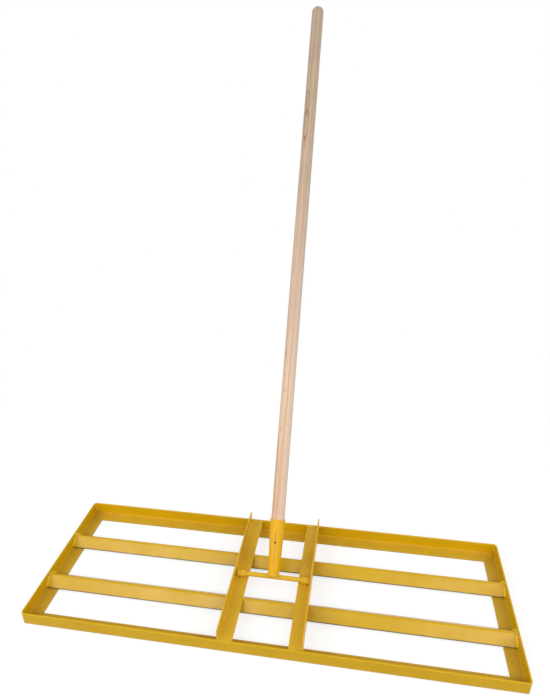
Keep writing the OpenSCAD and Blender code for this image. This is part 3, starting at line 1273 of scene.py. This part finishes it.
@dataclass
class Pivot:
    """The bushes on the cross angles, their tacks and the rod that turns in them.

    Attributes:
        paint: Material of the pivot.
        tack: Radius of the tacks.
        nodes: The nodes that wear the paint.
    """

    paint: bpy.types.Material
    tack: float = 3 * MM
    nodes: tuple[str, ...] = ("left_pivot_bush", "right_pivot_bush", "pivot_rod")

    def build(self) -> list[bpy.types.Object]:
        """Dresses the pivot and models its tacks.

        Returns:
            The tacks, as one piece.
        """
        for node in self.nodes:
            dress(frame["nodes"][node], self.paint)
        low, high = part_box("right_pivot_bush")
        radius = (high[2] - low[2]) / 2
        bush_x = (low[0] + high[0]) / 2
        axle_y = (low[1] + high[1]) / 2
        reach = radius - self.tack / 3
        pattern = Tack("bush_tack", self.tack, Seed.BUSH_TACK).model()
        bpy.ops.mesh.primitive_cylinder_add(vertices=CUTTER_SIDES, radius=radius, depth=4 * self.tack,
                                            location=(0.0, -reach, radius), rotation=ACROSS)
        carve(pattern, bpy.context.active_object)
        places = []
        for side, face in product(SIDES, SIDES):
            places.append(seat((side * bush_x, axle_y + face * reach, low[2]),
                               (side, 0, 0), (0, face, 0), (0, 0, 1)))
        piece = join("bush_weld_tacks", copies(pattern, places))
        dress(piece, self.paint)
        return [hand_over(piece, Body.FRAME, Slot.PAINT, "bush_welds")]


@dataclass
class SwingHandle:
    """The socket on the rod, its weld, the wooden shaft and the screw that holds it.

    Attributes:
        socket_paint: Material of the socket.
        weld_paint: Material of the weld at its foot.
        wood: Material of the shaft.
        steel: Material of the screw.
        axle: Where the handle's axis starts.
        lean: How far it leans back, in radians.
        rod: Radius of the rod.
        foot: Distance of the socket's foot from the axle.
        foot_radius: Outer radius of the foot.
        flare: Growth of the socket's radius along it.
        bead: Reach of the weld round the foot.
        bead_ripples: Number of its ripples.
        bead_thin: Size of a ripple beside the rod, in reaches.
        bead_gain: What the rod adds to that size.
        bead_swell: Least and greatest share of that size.
        bead_thickness: Half the length of a ripple, in reaches.
        bead_fineness: Faces of the weld's mesh along a reach.
        screw_place: Distance of the screw from the axle.
        screw_head: Diameter of its head.
        screw_shank: Diameter of its shank.
        screw_length: Its length.
        screw_lip: Height of the head's straight rim.
        screw_point: Length of the point.
        screw_tip: Width of the point's end, as a share of the shank.
        screw_bevel: Width of its broken edges.
        recess: Length and width of the recess's arms, in heads.
        recess_depth: Depth of the tool that cuts the recess, half of it above the head.
    """

    socket_paint: bpy.types.Material
    weld_paint: bpy.types.Material
    wood: bpy.types.Material
    steel: bpy.types.Material
    axle: Triple
    lean: float
    rod: float = 5 * MM
    foot: float = 4 * MM
    foot_radius: float = 12.5 * MM
    flare: float = 4.4 / 118
    bead: float = 2.4 * MM
    bead_ripples: int = 40
    bead_thin: float = 0.72
    bead_gain: float = 0.3
    bead_swell: Pair = (0.92, 1.02)
    bead_thickness: float = 0.75
    bead_fineness: int = 6
    screw_place: float = 74 * MM
    screw_head: float = 4.5 * MM
    screw_shank: float = 3 * MM
    screw_length: float = 20 * MM
    screw_lip: float = 0.4 * MM
    screw_point: float = 4 * MM
    screw_tip: float = 0.15
    screw_bevel: float = 0.15 * MM
    recess: Pair = (0.62, 0.16)
    recess_depth: float = 2 * MM

    def build(self) -> list[bpy.types.Object]:
        """Dresses the socket and shaft, and models the weld and the screw.

        Returns:
            The weld and the screw.
        """
        dress(frame["nodes"]["handle_socket"], self.socket_paint)
        dress(frame["nodes"]["handle_shaft"], self.wood)
        weld = self.foot_weld()
        dress(weld, self.weld_paint)
        screw = self.screw()
        dress(screw, self.steel)
        return [
            hand_over(weld, Body.HANDLE, Slot.PAINT, "socket_weld"),
            hand_over(screw, Body.HANDLE, Slot.SCREW, "handle_screw"),
        ]

    def on_handle(self) -> Matrix:
        """Returns the matrix from the handle's own axes, Z along it, to the frame's."""
        return Matrix.Translation(self.axle) @ Matrix.Rotation(-self.lean, 4, "X")

    def foot_weld(self) -> bpy.types.Object:
        """Models the rippled bead round the socket's foot, coped onto the rod.

        Returns:
            The bead, in place.
        """
        dice = random.Random(Seed.FOOT_WELD)
        ripples = []
        for number in range(self.bead_ripples):
            angle = 2 * math.pi * number / self.bead_ripples
            over_rod = abs(math.cos(angle)) ** 4
            swell = self.bead * (self.bead_thin + self.bead_gain * over_rod) * dice.uniform(*self.bead_swell)
            ripples.append(Ripple(
                (self.foot_radius * math.cos(angle), self.foot_radius * math.sin(angle), self.foot),
                (swell, self.bead_thickness * self.bead, swell), (0.0, 0.0, angle)))
        weld = pour("foot_weld", ripples, self.bead / self.bead_fineness)
        height = 4 * self.bead
        bpy.ops.mesh.primitive_cone_add(vertices=CUTTER_SIDES, radius1=self.foot_radius,
                                        radius2=self.foot_radius + self.flare * height, depth=height,
                                        location=(0.0, 0.0, self.foot + height / 2))
        carve(weld, bpy.context.active_object)
        bpy.ops.mesh.primitive_cylinder_add(vertices=CUTTER_SIDES, radius=self.rod,
                                            depth=4 * self.foot_radius, rotation=ACROSS)
        carve(weld, bpy.context.active_object)
        return join("socket_weld_bead", copies(weld, [self.on_handle()]))

    def screw(self) -> bpy.types.Object:
        """Models the countersunk screw with a cross recess, pointing in from the front.

        Returns:
            The screw, in place.
        """
        sink = (self.screw_head - self.screw_shank) / 2
        neck = self.screw_shank / self.screw_head
        straight = self.screw_length - sink - self.screw_point
        bpy.ops.object.select_all(action="DESELECT")
        bpy.ops.mesh.primitive_cylinder_add(vertices=SCREW_SIDES, radius=self.screw_head / 2,
                                            depth=self.screw_lip, location=(0.0, 0.0, -self.screw_lip / 2))
        screw = start_piece("screw")
        apply_place(screw)
        facing_down = -0.9
        for polygon in screw.data.polygons:
            polygon.select = polygon.normal.z < facing_down
        bpy.ops.object.mode_set(mode="EDIT")
        bpy.ops.mesh.select_mode(type="FACE")
        steps = ((sink - self.screw_lip, neck), (straight, 1.0), (self.screw_point, self.screw_tip))
        for drop, narrowing in steps:
            bpy.ops.mesh.extrude_region_move(TRANSFORM_OT_translate={"value": (0.0, 0.0, -drop)})
            bpy.ops.transform.resize(value=(narrowing, narrowing, 1.0))
        bpy.ops.object.mode_set(mode="OBJECT")
        apply_modifier(screw, "BEVEL", width=self.screw_bevel, segments=2, limit_method="ANGLE")
        length, width = self.recess
        for turn in (0.0, math.pi / 2):
            bpy.ops.mesh.primitive_cube_add(
                size=1.0, rotation=(0.0, 0.0, turn),
                scale=(length * self.screw_head, width * self.screw_head, self.recess_depth))
            carve(screw, bpy.context.active_object)
        out = self.foot_radius + self.flare * (self.screw_place - self.foot)
        upright = seat((0.0, -out, self.screw_place), (1, 0, 0), (0, 0, 1), (0, -1, 0))
        return join("handle_cross_screw", copies(screw, [self.on_handle() @ upright]))


@dataclass(frozen=True)
class SoftBox:
    """A soft studio lamp aimed at the frame.

    Attributes:
        name: Its name.
        direction: Where it stands, seen from the frame.
        power: Its power in watts.
        width: Its width in metres.
        height: Its height in metres.
        distance: How far it stands off.
    """

    name: str
    direction: Triple
    power: float
    width: float
    height: float
    distance: float = 4.0

    def build(self, target: Vector) -> None:
        """Sets the lamp up.

        Args:
            target: What it is aimed at.
        """
        towards = Vector(self.direction).normalized()
        bpy.ops.object.light_add(type="AREA", location=target + self.distance * towards)
        lamp = bpy.context.active_object
        lamp.name = self.name
        lamp.rotation_euler = towards.to_track_quat("Z", "Y").to_euler()
        lamp.data.shape = "RECTANGLE"
        lamp.data.size = self.width
        lamp.data.size_y = self.height
        lamp.data.energy = self.power
        lamp.visible_camera = False


@dataclass
class Studio:
    """A pale floor that fades into white, a white surround and five soft boxes.

    Attributes:
        floor_size: Width of the floor in metres.
        pale: How light the floor's own colour is.
        lift: Light added where the floor is seen, so that it reads white outside the shadow.
        fade: Where the floor starts to fade, and where it is plain white.
        surround: Strength of the surround as light on the object.
        boxes: The lamps.
    """

    floor_size: float = 60.0
    pale: float = 0.42
    lift: float = 0.66
    fade: Pair = (0.60, 1.3)
    surround: float = 0.31
    boxes: tuple[SoftBox, ...] = (
        SoftBox("left_side_box", (-0.78, -0.30, 0.55), 56.0, 2.3, 2.3),
        SoftBox("right_side_box", (0.78, -0.30, 0.55), 56.0, 2.3, 2.3),
        SoftBox("left_front_box", (-0.31, -0.725, 0.615), 41.0, 2.0, 0.75),
        SoftBox("right_front_box", (0.31, -0.72, 0.62), 21.0, 0.95, 0.75),
        SoftBox("back_box", (0.30, 0.85, 0.42), 28.0, 2.3, 2.3),
    )

    def build(self) -> None:
        """Builds the floor, the surround and the lamps."""
        bpy.ops.object.select_all(action="DESELECT")
        bpy.ops.mesh.primitive_plane_add(size=self.floor_size, location=(0.0, 0.0, CAD_BOX[0].z))
        floor = start_piece("studio_floor")
        apply_place(floor)
        dress(floor, self.floor_material())
        self.build_surround()
        for box in self.boxes:
            box.build(Vector(ORIGIN))

    @staticmethod
    def seen(bench: NodeBench) -> Socket:
        """Finds the rays by which the camera sees the white, straight, mirrored or through glass.

        Args:
            bench: The bench to work on.

        Returns:
            1 for these rays and 0 for all others.
        """
        path = bench.add("ShaderNodeLightPath").outputs
        mirrored = bench.math("MAXIMUM", path["Is Glossy Ray"], path["Is Transmission Ray"])
        return bench.math("MAXIMUM", path["Is Camera Ray"], mirrored)

    def floor_material(self) -> bpy.types.Material:
        """Makes the pale floor, which keeps the shadow near the object and is white far off.

        Returns:
            The floor's material.
        """
        bench = MaterialBench("pale_floor")
        seen = self.seen(bench)
        away = bench.measure("LENGTH", bench.position)
        far = bench.math("MULTIPLY", seen, bench.spread(away, *self.fade))
        colour = (self.pale, self.pale, self.pale, 1.0)
        matt = bench.add("ShaderNodeBsdfDiffuse", {"Color": colour}).outputs[0]
        lift = bench.math("MULTIPLY", seen, self.lift)
        glow = bench.add("ShaderNodeEmission", {"Strength": lift}).outputs[0]
        near = bench.add("ShaderNodeAddShader", {0: matt, 1: glow}).outputs[0]
        white = bench.add("ShaderNodeEmission", {"Strength": 1.0}).outputs[0]
        return bench.finish(bench.add("ShaderNodeMixShader", {0: far, 1: near, 2: white}).outputs[0])

    def build_surround(self) -> None:
        """Makes the world white to look at, and a plain dim light on the object."""
        world = bpy.data.worlds.new("white_surround")
        world.use_nodes = True
        bpy.context.scene.world = world
        bench = NodeBench(world.node_tree)
        seen = self.seen(bench)
        strength = bench.math("MULTIPLY_ADD", seen, 1.0 - self.surround, self.surround)
        light = bench.add("ShaderNodeBackground", {"Color": (1.0, 1.0, 1.0, 1.0), "Strength": strength})
        bench.add("ShaderNodeOutputWorld", {"Surface": light.outputs[0]})


@dataclass(frozen=True)
class PhotoCamera:
    """The camera at the photograph's angle.

    Attributes:
        place: Where it stands, in metres.
        heading: How far it is turned to the left of straight ahead, in degrees.
        dip: How far it looks down, in degrees.
        roll: How far it is tilted, in degrees.
        focal: Focal length in pixels of the photograph.
        long_side: Height of the photograph in pixels.
        sensor: Size of the sensor's long side in millimetres.
    """

    place: Triple = (0.1596, -0.8991, 1.0054)
    heading: float = 9.49
    dip: float = 24.965
    roll: float = -0.71
    focal: float = 564.4
    long_side: float = 699.0
    sensor: float = 36.0

    def build(self) -> None:
        """Creates the camera and makes it the scene's own."""
        data = bpy.data.cameras.new("photo_camera")
        data.sensor_width = self.sensor
        data.lens = self.focal / self.long_side * self.sensor
        camera = bpy.data.objects.new("photo_camera", data)
        bpy.context.collection.objects.link(camera)
        turn = Matrix.Rotation(math.radians(self.heading), 4, "Z")
        look_down = Matrix.Rotation(math.radians(90.0 - self.dip), 4, "X")
        tilt = Matrix.Rotation(math.radians(self.roll), 4, "Z")
        camera.matrix_world = Matrix.Translation(self.place) @ turn @ look_down @ tilt
        bpy.context.scene.camera = camera


def main() -> None:
    """Builds the rake's pieces in order, then the studio and the camera."""
    logging.basicConfig(level=logging.INFO, format="%(name)s: %(message)s")
    effects = Effects()
    axle = tuple(frame["joints"][0]["pos_m"])
    paints = {coat: enamel.material(effects) for coat, enamel in ENAMELS.items()}
    wood = PineFinish("sanded_pine", axle, LEAN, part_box("handle_shaft")[1][2]).material(effects)
    steel = ScrewFinish("plated_screw").material(effects)
    assemblies = (
        AngleFrame(paints),
        Pivot(paints[Coat.PIVOT]),
        SwingHandle(paints[Coat.SOCKET], paints[Coat.PIVOT], wood, steel, axle, LEAN),
    )
    for assembly in assemblies:
        for piece in assembly.build():
            LOG.info("%s rides on %s with %d faces", piece.name, piece["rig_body"], len(piece.data.polygons))
    Studio().build()
    PhotoCamera().build()
    bpy.context.scene.view_settings.view_transform = "Standard"


if __name__ == "__main__":
    main()
